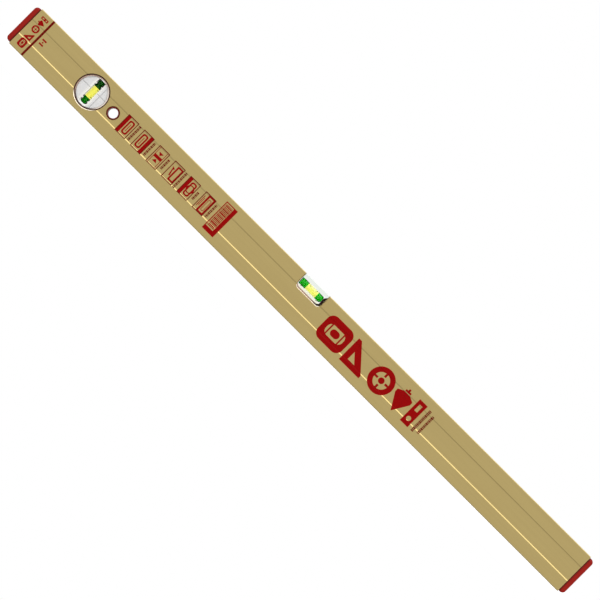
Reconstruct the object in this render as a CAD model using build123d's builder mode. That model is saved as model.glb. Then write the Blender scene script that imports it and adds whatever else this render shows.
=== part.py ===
from build123d import *
from math import sqrt
import os

# Box-section spirit level, 800 mm long.  Millimetres.
# X runs along the level, Y through its thickness (front face at -Y), Z up from the lower measuring face.
# The origin is under the middle of the level, on the lower measuring face.

# Overall
LENGTH = 800.0
HEIGHT = 48.4
DEPTH = 20.0
MID_Z = HEIGHT / 2

# Extruded profile
CAP_LENGTH = 6.3
PROFILE_LENGTH = LENGTH - 2 * CAP_LENGTH
SIDE_WALL = 1.4
FLANGE_WALL = 2.2
OUTER_CORNER = 0.8
INNER_CORNER = 0.5
BAND_HALF = 9.2  # half height of the recessed band along both sides
BAND_SLOPE = 1.1  # height of the sloped step at each edge of the band
BAND_RECESS = 0.6

# Round window for the plumb vial
WINDOW_X = -298.8
WINDOW_R = 17.8
WINDOW_CHAMFER = 1.15

# Hanging hole and its bush
HANG_X = -268.5
HANG_HOLE_R = 6.55
HANG_CHAMFER = 0.7
BUSH_R = 6.5
BUSH_BORE_R = 5.3
BUSH_BARB_R = 7.2
BUSH_BARB_LENGTH = 1.6
BUSH_MOUTH = 0.6

# Notch in the upper edge for the level vial
NOTCH_LEFT = -14.3
NOTCH_RIGHT = 18.8
NOTCH_FLOOR_Z = 32.0
NOTCH_CORNER = 4.2
NOTCH_CHAMFER = 1.0
NOTCH_MID_X = (NOTCH_LEFT + NOTCH_RIGHT) / 2

# Vial, measured along its own axis from the middle of its reading marks
VIAL_R = 4.1
PLUG_END = -15.75
ROUND_END = 14.35
CLEAR_HALF = 6.85  # half length of the clear middle between the two coloured collars
COLLAR_WALL = 0.8
COLLAR_CHAMFER = 0.3
COLLAR_ROUND = 2.6
BARREL_HALF = 11.5
BARREL_R = 2.7
BARREL_CURVE_R = 229.0  # 30 arc minutes of tilt move the bubble 2 mm
SEAT_R = 2.9
MARK_AT = 4.8
MARK_WIDTH = 0.45
MARK_DEPTH = 0.15
MARK_SWEEP = 120.0

# Bubbles: long and flat where the vial lies level, short and round where it stands upright
BUBBLE_R = 2.25
BUBBLE_FILM = 0.1  # gap left between the bubble and the liquid around it
LONG_BUBBLE_LENGTH = 8.8
LONG_BUBBLE_WIDTH = 4.0
LONG_BUBBLE_FLOOR = 0.5
SHORT_BUBBLE_LENGTH = 3.0
SHORT_BUBBLE_ROUND = 1.1
SHORT_BUBBLE_AT = -9.8

# Where the two vials sit
LEVEL_X = 1.8
LEVEL_Z = 39.7
PLUMB_X = -298.75
PLUMB_Z = 24.25

# Clear cover over the level vial, and the white carrier and potting under and beside it
COVER_GAP = 0.08
COVER_HALF_DEPTH = 9.4
COVER_FLOOR_Z = 34.9
COVER_TOP_Z = 48.2
COVER_EDGE = 0.35
COVER_WALL = 1.8
COVER_CEILING_Z = 44.3
COVER_INNER_CORNER = 1.0
POTTING_LEFT = 16.2
POTTING_LOW_TOP_Z = 42.6
POTTING_HIGH_TOP_Z = 45.6
POTTING_HALF_DEPTH = 8.9
POTTING_FOOT_LEFT = -20.0  # beyond the notch, so that it runs round both corners
POTTING_GAP = 0.05
CARRIER_GAP = 0.6
CARRIER_HALF_DEPTH = 9.2
CARRIER_BODY_HALF_DEPTH = 7.6
CARRIER_BODY_OVERHANG = 8.0
CARRIER_BODY_FLOOR_Z = 22.0
CARRIER_BODY_TOP_Z = 31.4
CARRIER_WALL = 1.6
CARRIER_RIB_REACH = 0.35
PAD_SHIFT = 1.6  # the pad stops this much further from the right side of the notch
PAD_LIFT = 0.5  # and this much further above its floor
SEAT_AT = (-9.5, 12.0)  # X of the two seats under the collars of the vial
SEAT_LENGTH = 1.8
SEAT_WIDTH = 3.6
SEAT_TOP_Z = 36.0
SEAT_GAP = 0.05

# Two-part holder of the plumb vial
HOLDER_R = 16.7
HOLDER_RIM = 0.6
HOLDER_HALF_GAP = 0.05
HOLDER_RIM_Y = 6.6
HOLDER_FACE_Y = 7.2
HOLDER_PLATE = 2.2
HOLDER_WALL = 1.5
HOLDER_CHORD = 15.0
HOLDER_CHORD_ANGLES = (38.0, 142.0)
SLOT_WIDTH = 9.0
SLOT_LENGTH = 31.4
SLOT_RISE = 0.75
SLOT_CORNER = 1.5
GROOVE_WIDTH = 0.6
GROOVE_DEPTH = 0.8
GROOVE_X = 8.8
GROOVE_Z = 2.6
LUG_DEPTH = 2.5
LUG_THICKNESS = 1.6
LUG_AT = 10.0  # distance of each pair of lugs from the middle of the slot
FINGER_WIDTH = 5.0
FINGER_WALL = 1.0
FINGER_LOW_Y = 3.0
FINGER_HIGH_Y = 5.2
FINGER_TIP_Y = 8.45
PIN_AT = 11.2
PIN_R = 1.2
PIN_GAP = 0.05
PIN_LENGTH = 3.0
PIN_BOSS_R = 2.5
GLUE_WIDTH = 2.4
RING_GAP = 0.05  # between the dark ring and each of its neighbours
RING_OUTER_Y = 8.5
RING_EDGE = 0.3

# End caps
CAP_HEIGHT = 46.0
CAP_DEPTH = 18.4
CAP_CORNER = 4.3
CAP_SIDE_CORNER = 3.0
CAP_EDGE = 1.2
NECK_LENGTH = 1.2
NECK_INSET = 0.9
SPIGOT_LENGTH = 18.0
SPIGOT_HEIGHT = 43.2
SPIGOT_DEPTH = 15.4
SPIGOT_WALL = 1.8
SPIGOT_RIB = 1.2
CAVITY_HALF_HEIGHT = HEIGHT / 2 - FLANGE_WALL
CAVITY_HALF_DEPTH = DEPTH / 2 - BAND_RECESS - SIDE_WALL
RIB_CLEARANCE = 0.05
CAP_PANEL_DEPTH = 0.6
CAP_PANEL_HEIGHT = 32.0
CAP_PANEL_WIDTH = 9.0

os.makedirs("parts", exist_ok=True)


def save(piece, label):
    """Label a finished piece and write it to its own file."""
    piece.label = label
    export_step(piece, f"parts/{label}.step")


def inward_plane(side):
    """The plane of the outer face on that side (-1 front, 1 back), looking inward, with local Y up."""
    return Plane(origin=(0, side * DEPTH / 2, 0), x_dir=(side, 0, 0), z_dir=(0, -side, 0))


def banded_box(depth, height, corner, mode):
    """A rounded box section whose two long sides step inward over the middle band."""
    with BuildSketch(mode=Mode.PRIVATE) as box:
        RectangleRounded(depth, height, corner)
        for side in (-1, 1):
            outer = side * depth / 2
            floor = side * (depth / 2 - BAND_RECESS)
            edge = BAND_HALF + BAND_SLOPE
            with BuildLine():
                Polyline((outer, -edge), (floor, -BAND_HALF), (floor, BAND_HALF), (outer, edge), close=True)
            make_face(mode=Mode.SUBTRACT)
    add(box.sketch, mode=mode)


def notch_outline(inset=0.0):
    """The notch in the upper edge, or the same shape drawn in by an inset."""
    width = NOTCH_RIGHT - NOTCH_LEFT - 2 * inset
    height = 2 * (HEIGHT - NOTCH_FLOOR_Z - inset)
    RectangleRounded(width, height, NOTCH_CORNER - inset)


def pad_outline(inset):
    """The foot of the notch that the carrier's pad fills, below the cover."""
    with BuildSketch(mode=Mode.PRIVATE) as shifted:
        with Locations((NOTCH_MID_X - PAD_SHIFT, HEIGHT + PAD_LIFT)):
            notch_outline(inset)
    with BuildSketch(mode=Mode.PRIVATE) as pad:
        with Locations((NOTCH_MID_X, HEIGHT + PAD_LIFT)):
            notch_outline(inset)
        add(shifted.sketch, mode=Mode.INTERSECT)
        with Locations((NOTCH_MID_X, COVER_FLOOR_Z + HEIGHT / 2)):
            Rectangle(LENGTH / 10, HEIGHT, mode=Mode.SUBTRACT)
    return pad.sketch


# ---------------------------------------------------------------- profile
with BuildPart() as profile:
    with BuildSketch(Plane.YZ):
        with Locations((0, MID_Z)):
            banded_box(DEPTH, HEIGHT, OUTER_CORNER, Mode.ADD)
            banded_box(DEPTH - 2 * SIDE_WALL, HEIGHT - 2 * FLANGE_WALL, INNER_CORNER, Mode.SUBTRACT)
    extrude(amount=PROFILE_LENGTH / 2, both=True)
    # Window, hanging hole and notch go through both side walls
    with BuildSketch(Plane.XZ):
        with Locations((WINDOW_X, MID_Z)):
            Circle(WINDOW_R)
        with Locations((HANG_X, MID_Z)):
            Circle(HANG_HOLE_R)
        with Locations((NOTCH_MID_X, HEIGHT)):
            notch_outline()
    extrude(amount=DEPTH, both=True, mode=Mode.SUBTRACT)
    # Each opening has a chamfered edge on both faces
    for side in (-1, 1):
        with BuildSketch(inward_plane(side)):
            with Locations((side * WINDOW_X, MID_Z)):
                Circle(WINDOW_R + WINDOW_CHAMFER)
        extrude(amount=WINDOW_CHAMFER, taper=45, mode=Mode.SUBTRACT)
        with BuildSketch(inward_plane(side)):
            with Locations((side * HANG_X, MID_Z)):
                Circle(HANG_HOLE_R + BAND_RECESS + HANG_CHAMFER)
        extrude(amount=BAND_RECESS + HANG_CHAMFER, taper=45, mode=Mode.SUBTRACT)
        with BuildSketch(inward_plane(side)):
            with Locations((side * NOTCH_MID_X, HEIGHT)):
                notch_outline(-NOTCH_CHAMFER)
        extrude(amount=NOTCH_CHAMFER, taper=45, mode=Mode.SUBTRACT)
        # The chamfers keep their width across the recessed band
        with BuildPart(mode=Mode.PRIVATE) as band_chamfers:
            with BuildSketch(inward_plane(side).offset(BAND_RECESS)):
                with Locations((side * WINDOW_X, MID_Z)):
                    Circle(WINDOW_R + WINDOW_CHAMFER)
            extrude(amount=WINDOW_CHAMFER, taper=45)
            with BuildSketch(inward_plane(side).offset(BAND_RECESS)):
                with Locations((side * NOTCH_MID_X, HEIGHT)):
                    notch_outline(-NOTCH_CHAMFER)
            extrude(amount=NOTCH_CHAMFER, taper=45)
            with Locations((0, 0, MID_Z)):
                Box(LENGTH, 2 * DEPTH, 2 * BAND_HALF, mode=Mode.INTERSECT)
        add(band_chamfers.part, mode=Mode.SUBTRACT)
save(profile.part, "profile")


# ---------------------------------------------------------------- end caps
def end_cap(side, label):
    """A moulded cap: rounded outer block, narrow neck, and a hollow ribbed spigot inside the profile."""
    joint_x = side * PROFILE_LENGTH / 2
    with BuildPart() as cap:
        with BuildSketch(Plane.XZ):
            with Locations((side * (LENGTH / 2 - CAP_LENGTH), MID_Z)):
                RectangleRounded(2 * CAP_LENGTH, CAP_HEIGHT, CAP_CORNER)
        extrude(amount=CAP_DEPTH / 2, both=True)
        with BuildSketch(Plane.YZ.offset(joint_x + side * NECK_LENGTH)):
            with Locations((0, MID_Z)):
                RectangleRounded(CAP_DEPTH, CAP_HEIGHT, CAP_SIDE_CORNER)
        extrude(amount=side * CAP_LENGTH, mode=Mode.INTERSECT)
        outer_face = cap.faces().sort_by(Axis.X)[-1 if side > 0 else 0]
        fillet(outer_face.edges(), CAP_EDGE)
        with BuildSketch(Plane.YZ.offset(side * LENGTH / 2)):
            with Locations((0, MID_Z)):
                RectangleRounded(CAP_PANEL_WIDTH, CAP_PANEL_HEIGHT, CAP_PANEL_WIDTH / 3)
        extrude(amount=-side * CAP_PANEL_DEPTH, mode=Mode.SUBTRACT)
        with BuildSketch(Plane.YZ.offset(joint_x)):
            with Locations((0, MID_Z)):
                RectangleRounded(CAP_DEPTH - 2 * NECK_INSET, CAP_HEIGHT - 2 * NECK_INSET, CAP_SIDE_CORNER)
        extrude(amount=side * (NECK_LENGTH + CAP_EDGE))
        with BuildSketch(Plane.YZ.offset(joint_x)):
            with Locations((0, MID_Z)):
                RectangleRounded(SPIGOT_DEPTH, SPIGOT_HEIGHT, SPIGOT_RIB)
        extrude(amount=-side * SPIGOT_LENGTH)
        # Crush ribs, four on each broad side and two on each narrow side
        rib_half_depth = CAVITY_HALF_DEPTH - RIB_CLEARANCE
        rib_half_height = CAVITY_HALF_HEIGHT - RIB_CLEARANCE
        with BuildSketch(Plane.YZ.offset(joint_x)):
            with Locations((0, MID_Z)):
                with GridLocations(0, 4 * SPIGOT_RIB, 1, 4):
                    Rectangle(2 * rib_half_depth, SPIGOT_RIB)
                with GridLocations(6 * SPIGOT_RIB, 0, 2, 1):
                    Rectangle(SPIGOT_RIB, 2 * rib_half_height)
        extrude(amount=-side * (SPIGOT_LENGTH - 2 * SPIGOT_RIB))
        with BuildSketch(Plane.YZ.offset(joint_x - side * SPIGOT_LENGTH)):
            with Locations((0, MID_Z)):
                Rectangle(SPIGOT_DEPTH - 2 * SPIGOT_WALL, SPIGOT_HEIGHT - 2 * SPIGOT_WALL)
        extrude(amount=side * (SPIGOT_LENGTH - SPIGOT_RIB), mode=Mode.SUBTRACT)
    save(cap.part, label)


end_cap(-1, "end_cap_left")
end_cap(1, "end_cap_right")

# ---------------------------------------------------------------- hanging hole bush
BUSH_HALF = DEPTH / 2 - BAND_RECESS
WALL_INSIDE_Y = CAVITY_HALF_DEPTH

with BuildPart() as bush:
    with BuildSketch(Plane.XZ):
        with Locations((HANG_X, MID_Z)):
            Circle(BUSH_R)
    extrude(amount=BUSH_HALF, both=True)
    # Snap barbs just inside each side wall
    for side in (-1, 1):
        with BuildSketch(inward_plane(side).offset(DEPTH / 2 - WALL_INSIDE_Y + RIB_CLEARANCE)):
            with Locations((side * HANG_X, MID_Z)):
                Circle(BUSH_BARB_R)
        extrude(amount=BUSH_BARB_LENGTH, taper=20)
    with BuildSketch(Plane.XZ):
        with Locations((HANG_X, MID_Z)):
            Circle(BUSH_BORE_R)
    extrude(amount=DEPTH, both=True, mode=Mode.SUBTRACT)
    bore_mouths = bush.edges().filter_by(GeomType.CIRCLE).group_by(lambda edge: edge.radius)[0]
    fillet(bore_mouths, BUSH_MOUTH)
save(bush.part, "hanging_hole_bush")

# ---------------------------------------------------------------- vials
# Both vials are the same part.  A vial plane has its local X along the vial, from the plug end to the
# round end, and its local Y towards the side where the bubble floats between the reading marks.
LEVEL_PLANE = Plane(origin=(LEVEL_X, 0, LEVEL_Z), x_dir=(1, 0, 0), z_dir=(0, -1, 0))
PLUMB_PLANE = Plane(origin=(PLUMB_X, 0, PLUMB_Z), x_dir=(0, 0, -1), z_dir=(0, -1, 0))

TUBE_PLUG_END = PLUG_END + COLLAR_WALL
TUBE_ROUND_END = ROUND_END - COLLAR_WALL
TUBE_END_R = VIAL_R - COLLAR_WALL
TUBE_ROUND = COLLAR_ROUND - COLLAR_WALL
BARREL_END_R = BARREL_R - (BARREL_CURVE_R - sqrt(BARREL_CURVE_R**2 - BARREL_HALF**2))


def vial_axis(plane):
    """The line along the middle of a vial."""
    return Axis(plane.origin, plane.x_dir)


def mark_sketch(plane, at):
    """Cross-section of one reading mark, at the start of its sweep round the tube."""
    start_normal = plane.z_dir.rotate(vial_axis(plane), -MARK_SWEEP / 2)
    start_plane = Plane(origin=plane.origin, x_dir=plane.x_dir, z_dir=start_normal)
    with BuildSketch(start_plane) as mark:
        with Locations((at, VIAL_R - MARK_DEPTH / 2)):
            Rectangle(MARK_WIDTH, MARK_DEPTH)
    return mark.sketch


def tube(plane, label):
    """Clear moulded tube: barrel-shaped bore, open at the plug end, with grooves for the marks."""
    with BuildPart() as body:
        with BuildSketch(plane):
            with BuildLine():
                Polyline(
                    (TUBE_PLUG_END, SEAT_R),
                    (TUBE_PLUG_END, TUBE_END_R),
                    (-CLEAR_HALF, TUBE_END_R),
                    (-CLEAR_HALF, VIAL_R),
                    (CLEAR_HALF, VIAL_R),
                    (CLEAR_HALF, TUBE_END_R),
                    (TUBE_ROUND_END - TUBE_ROUND, TUBE_END_R),
                )
                RadiusArc(
                    (TUBE_ROUND_END - TUBE_ROUND, TUBE_END_R),
                    (TUBE_ROUND_END, TUBE_END_R - TUBE_ROUND),
                    TUBE_ROUND,
                )
                Polyline(
                    (TUBE_ROUND_END, TUBE_END_R - TUBE_ROUND),
                    (TUBE_ROUND_END, 0),
                    (BARREL_HALF, 0),
                    (BARREL_HALF, BARREL_END_R),
                )
                ThreePointArc((BARREL_HALF, BARREL_END_R), (0, BARREL_R), (-BARREL_HALF, BARREL_END_R))
                Polyline((-BARREL_HALF, BARREL_END_R), (-BARREL_HALF, SEAT_R), (TUBE_PLUG_END, SEAT_R))
            make_face()
        revolve(axis=vial_axis(plane))
        for at in (-MARK_AT, MARK_AT):
            groove = mark_sketch(plane, at)
            revolve(groove, axis=vial_axis(plane), revolution_arc=MARK_SWEEP, mode=Mode.SUBTRACT)
    save(body.part, label)


def reading_mark(plane, at, label):
    """A black line inlaid over the side of the tube where the bubble is read."""
    with BuildPart() as mark:
        revolve(mark_sketch(plane, at), axis=vial_axis(plane), revolution_arc=MARK_SWEEP)
    save(mark.part, label)


def plug(plane, label):
    """The plug that closes the bore."""
    with BuildPart() as body:
        with BuildSketch(plane):
            with BuildLine():
                Polyline(
                    (TUBE_PLUG_END, 0),
                    (TUBE_PLUG_END, SEAT_R),
                    (-BARREL_HALF - COLLAR_CHAMFER, SEAT_R),
                    (-BARREL_HALF, SEAT_R - COLLAR_CHAMFER),
                    (-BARREL_HALF, 0),
                    close=True,
                )
            make_face()
        revolve(axis=vial_axis(plane))
    save(body.part, label)


def plug_collar(plane, label):
    """Green cup over the square end of the tube."""
    with BuildPart() as cup:
        with BuildSketch(plane):
            with BuildLine():
                Polyline(
                    (PLUG_END, 0),
                    (PLUG_END, VIAL_R - COLLAR_CHAMFER),
                    (PLUG_END + COLLAR_CHAMFER, VIAL_R),
                    (-CLEAR_HALF, VIAL_R),
                    (-CLEAR_HALF, TUBE_END_R),
                    (TUBE_PLUG_END, TUBE_END_R),
                    (TUBE_PLUG_END, 0),
                    close=True,
                )
            make_face()
        revolve(axis=vial_axis(plane))
    save(cup.part, label)


def round_collar(plane, label):
    """Green cup over the rounded end of the tube."""
    with BuildPart() as cup:
        with BuildSketch(plane):
            with BuildLine():
                Polyline(
                    (TUBE_ROUND_END - TUBE_ROUND, TUBE_END_R),
                    (CLEAR_HALF, TUBE_END_R),
                    (CLEAR_HALF, VIAL_R),
                    (ROUND_END - COLLAR_ROUND, VIAL_R),
                )
                RadiusArc(
                    (ROUND_END - COLLAR_ROUND, VIAL_R),
                    (ROUND_END, VIAL_R - COLLAR_ROUND),
                    COLLAR_ROUND,
                )
                Polyline(
                    (ROUND_END, VIAL_R - COLLAR_ROUND),
                    (ROUND_END, 0),
                    (TUBE_ROUND_END, 0),
                    (TUBE_ROUND_END, TUBE_END_R - TUBE_ROUND),
                )
                RadiusArc(
                    (TUBE_ROUND_END, TUBE_END_R - TUBE_ROUND),
                    (TUBE_ROUND_END - TUBE_ROUND, TUBE_END_R),
                    -TUBE_ROUND,
                )
            make_face()
        revolve(axis=vial_axis(plane))
    save(cup.part, label)


def long_bubble(plane, at, grow):
    """A bubble flattened below and rounded above, grown on every side."""
    up_plane = Plane(origin=plane.origin, x_dir=plane.x_dir, z_dir=plane.y_dir)
    with BuildPart(mode=Mode.PRIVATE) as shape:
        with BuildSketch(plane):
            with Locations((at, (BUBBLE_R + grow) / 2)):
                Rectangle(LONG_BUBBLE_LENGTH + 2 * grow, BUBBLE_R + grow)
        revolve(axis=vial_axis(plane))
        with BuildSketch(up_plane.offset(LONG_BUBBLE_FLOOR - grow)):
            with Locations((at, 0)):
                SlotOverall(LONG_BUBBLE_LENGTH + 2 * grow, LONG_BUBBLE_WIDTH + 2 * grow)
        extrude(amount=VIAL_R, mode=Mode.INTERSECT)
    return shape.part


def short_bubble(plane, at, grow):
    """A bubble that fills the width of an upright bore, grown on every side."""
    with BuildPart(mode=Mode.PRIVATE) as shape:
        with BuildSketch(plane):
            with Locations((at, 0)):
                length = SHORT_BUBBLE_LENGTH + 2 * grow
                RectangleRounded(length, 2 * (BUBBLE_R + grow), SHORT_BUBBLE_ROUND + grow)
            with Locations((at, -VIAL_R / 2)):
                Rectangle(2 * length, VIAL_R, mode=Mode.SUBTRACT)
        revolve(axis=vial_axis(plane))
    return shape.part


def bubble(plane, bubble_shape, at, label):
    """The air bubble, resting at a distance along the vial."""
    with BuildPart() as air:
        add(bubble_shape(plane, at, 0.0))
    save(air.part, label)


def liquid(plane, bubble_shape, at, label):
    """The tinted liquid that fills the bore around the bubble."""
    with BuildPart() as fill:
        with BuildSketch(plane):
            with BuildLine():
                Polyline(
                    (-BARREL_HALF, BARREL_END_R),
                    (-BARREL_HALF, 0),
                    (BARREL_HALF, 0),
                    (BARREL_HALF, BARREL_END_R),
                )
                ThreePointArc((BARREL_HALF, BARREL_END_R), (0, BARREL_R), (-BARREL_HALF, BARREL_END_R))
            make_face()
        revolve(axis=vial_axis(plane))
        add(bubble_shape(plane, at, BUBBLE_FILM), mode=Mode.SUBTRACT)
    save(fill.part, label)


def vial(plane, bubble_shape, bubble_at, prefix, mark_names):
    """Every piece of one vial."""
    tube(plane, f"{prefix}_vial_tube")
    plug(plane, f"{prefix}_vial_plug")
    plug_collar(plane, f"{prefix}_plug_collar")
    round_collar(plane, f"{prefix}_round_collar")
    liquid(plane, bubble_shape, bubble_at, f"{prefix}_liquid")
    bubble(plane, bubble_shape, bubble_at, f"{prefix}_bubble")
    for at, mark_name in zip((-MARK_AT, MARK_AT), mark_names):
        reading_mark(plane, at, f"{prefix}_mark_{mark_name}")


# With the level lying flat the level bubble is centred and the plumb bubble has risen to the top.
vial(LEVEL_PLANE, long_bubble, 0.0, "level", ("left", "right"))
vial(PLUMB_PLANE, short_bubble, SHORT_BUBBLE_AT, "plumb", ("upper", "lower"))

# ---------------------------------------------------------------- level vial: cover, potting, carrier
COVER_LEFT = NOTCH_LEFT + COVER_GAP
COVER_RIGHT = NOTCH_RIGHT - COVER_GAP

with BuildPart() as cover:
    with BuildSketch(Plane.XZ):
        with Locations((NOTCH_MID_X, HEIGHT)):
            notch_outline(COVER_GAP)
        with BuildLine():
            Polyline(
                (COVER_LEFT, COVER_FLOOR_Z),
                (POTTING_LEFT, COVER_FLOOR_Z),
                (POTTING_LEFT, POTTING_LOW_TOP_Z),
                (COVER_RIGHT, POTTING_HIGH_TOP_Z),
                (COVER_RIGHT, COVER_TOP_Z),
                (COVER_LEFT, COVER_TOP_Z),
                close=True,
            )
        make_face(mode=Mode.INTERSECT)
    extrude(amount=COVER_HALF_DEPTH, both=True)
    chamfer(cover.faces().sort_by(Axis.Z)[-1].edges(), COVER_EDGE)
    # Tunnel for the vial, open at the left end and below
    with BuildSketch(Plane.YZ.offset(COVER_LEFT)):
        with Locations((0, COVER_FLOOR_Z)):
            tunnel_width = 2 * (COVER_HALF_DEPTH - COVER_WALL)
            tunnel_height = 2 * (COVER_CEILING_Z - COVER_FLOOR_Z)
            RectangleRounded(tunnel_width, tunnel_height, COVER_INNER_CORNER)
    extrude(amount=POTTING_LEFT - COVER_LEFT, mode=Mode.SUBTRACT)
save(cover.part, "level_cover")

NECK_LENGTH_X = NOTCH_RIGHT - NOTCH_LEFT - 2 * NOTCH_CORNER - 2 * PAD_SHIFT
NECK_WIDTH_Y = 2 * CARRIER_BODY_HALF_DEPTH - 2 * CARRIER_GAP

with BuildPart() as potting:
    with BuildSketch(Plane.XZ):
        with Locations((NOTCH_MID_X, HEIGHT)):
            notch_outline(COVER_GAP)
        # Beside the vial it rises to a slanted top; below, it runs under the pad
        with BuildLine():
            Polyline(
                (POTTING_FOOT_LEFT, 0),
                (COVER_RIGHT, 0),
                (COVER_RIGHT, POTTING_HIGH_TOP_Z),
                (POTTING_LEFT, POTTING_LOW_TOP_Z),
                (POTTING_LEFT, COVER_FLOOR_Z),
                (POTTING_FOOT_LEFT, COVER_FLOOR_Z),
                close=True,
            )
        make_face(mode=Mode.INTERSECT)
        add(pad_outline(CARRIER_GAP - POTTING_GAP), mode=Mode.SUBTRACT)
    extrude(amount=POTTING_HALF_DEPTH, both=True)
    # Room for the neck of the carrier
    with BuildSketch(Plane.XY):
        with Locations((NOTCH_MID_X, 0)):
            Rectangle(NECK_LENGTH_X + 2 * POTTING_GAP, NECK_WIDTH_Y + 2 * POTTING_GAP)
    extrude(amount=HEIGHT, mode=Mode.SUBTRACT)
save(potting.part, "level_potting")

CARRIER_LEFT = NOTCH_LEFT - CARRIER_BODY_OVERHANG
CARRIER_RIGHT = NOTCH_RIGHT + CARRIER_BODY_OVERHANG
CARRIER_MID_X = (CARRIER_LEFT + CARRIER_RIGHT) / 2
CARRIER_LENGTH = CARRIER_RIGHT - CARRIER_LEFT
CARRIER_BODY_HEIGHT = CARRIER_BODY_TOP_Z - CARRIER_BODY_FLOOR_Z

with BuildPart() as carrier:
    # Upper pad that fills the foot of the notch
    with BuildSketch(Plane.XZ):
        add(pad_outline(CARRIER_GAP))
    extrude(amount=CARRIER_HALF_DEPTH, both=True)
    # Neck and hollow body between the side walls
    with BuildSketch(Plane.XY.offset(CARRIER_BODY_FLOOR_Z)):
        with Locations((CARRIER_MID_X, 0)):
            RectangleRounded(CARRIER_LENGTH, 2 * CARRIER_BODY_HALF_DEPTH, CARRIER_WALL)
    extrude(amount=CARRIER_BODY_HEIGHT)
    with BuildSketch(Plane.XY.offset(CARRIER_BODY_TOP_Z)):
        with Locations((NOTCH_MID_X, 0)):
            Rectangle(NECK_LENGTH_X, NECK_WIDTH_Y)
    extrude(amount=NOTCH_FLOOR_Z + 2 * CARRIER_GAP + PAD_LIFT - CARRIER_BODY_TOP_Z)
    # Two hollowed seats for the vial
    with BuildSketch(Plane.XY.offset(COVER_FLOOR_Z)):
        for seat_x in SEAT_AT:
            with Locations((seat_x, 0)):
                Rectangle(SEAT_LENGTH, SEAT_WIDTH)
    extrude(amount=SEAT_TOP_Z - COVER_FLOOR_Z)
    with BuildSketch(Plane.YZ.offset(NOTCH_LEFT)):
        with Locations((0, LEVEL_Z)):
            Circle(VIAL_R + SEAT_GAP)
    extrude(amount=NOTCH_RIGHT - NOTCH_LEFT, mode=Mode.SUBTRACT)
    bay_length = (CARRIER_LENGTH - 4 * CARRIER_WALL) / 3
    bay_pitch = bay_length + CARRIER_WALL
    # Crush ribs that wedge the body between the side walls
    with BuildSketch(Plane.XY.offset(CARRIER_BODY_FLOOR_Z + CARRIER_WALL)):
        with Locations((CARRIER_MID_X, 0)):
            with GridLocations(bay_pitch, 0, 3, 1):
                Rectangle(CARRIER_WALL, 2 * (CARRIER_BODY_HALF_DEPTH + CARRIER_RIB_REACH))
    extrude(amount=CARRIER_BODY_HEIGHT - 2 * CARRIER_WALL)
    # Three bays, open below
    with BuildSketch(Plane.XY.offset(CARRIER_BODY_FLOOR_Z)):
        with Locations((CARRIER_MID_X, 0)):
            with GridLocations(bay_pitch, 0, 3, 1):
                Rectangle(bay_length, 2 * (CARRIER_BODY_HALF_DEPTH - CARRIER_WALL))
    extrude(amount=CARRIER_BODY_HEIGHT - CARRIER_WALL, mode=Mode.SUBTRACT)
save(carrier.part, "level_carrier")


# ---------------------------------------------------------------- plumb vial: holder and glue
SLOT_OFFSET_X = PLUMB_X - WINDOW_X


def holder_plane(side, distance=0.0):
    """A plane at a distance from the parting plane, facing outward, centred on the window, local Y up."""
    return Plane(origin=(WINDOW_X, side * distance, MID_Z), x_dir=(-side, 0, 0), z_dir=(0, side, 0))


def slot_outline(side, grow, limit_r):
    """The upright slot that shows the vial, kept inside a circle."""
    with BuildSketch(mode=Mode.PRIVATE) as slot:
        with Locations((-side * SLOT_OFFSET_X, SLOT_RISE)):
            RectangleRounded(SLOT_WIDTH + 2 * grow, SLOT_LENGTH + 2 * grow, SLOT_CORNER)
        Circle(limit_r, mode=Mode.INTERSECT)
    return slot.sketch


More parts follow.
